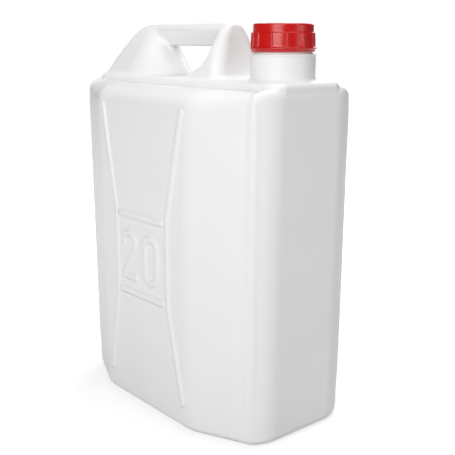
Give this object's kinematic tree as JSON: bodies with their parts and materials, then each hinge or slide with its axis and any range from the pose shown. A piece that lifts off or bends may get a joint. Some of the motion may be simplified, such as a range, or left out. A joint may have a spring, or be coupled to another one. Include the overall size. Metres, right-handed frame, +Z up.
{
  "type": "plastic water jug",
  "caption": "Tall white plastic jug with eight-sided plan, tapered grip handle, round neck, red ribbed screw cap and raised figures on both broad faces.",
  "frame": {"origin": "on the ground under the middle of the can", "axes": "+X towards the end with the neck, +Z up, -Y out of the face shown in front"},
  "size_m": [0.3268, 0.1994, 0.436],
  "materials": {
    "white_plastic": "moulded polyethylene, satin, opaque white",
    "red_plastic": "moulded, glossy red"
  },
  "bodies": {
    "root": {"jug_body": "white_plastic", "screw_cap": "red_plastic"}
  },
  "joints": []
}
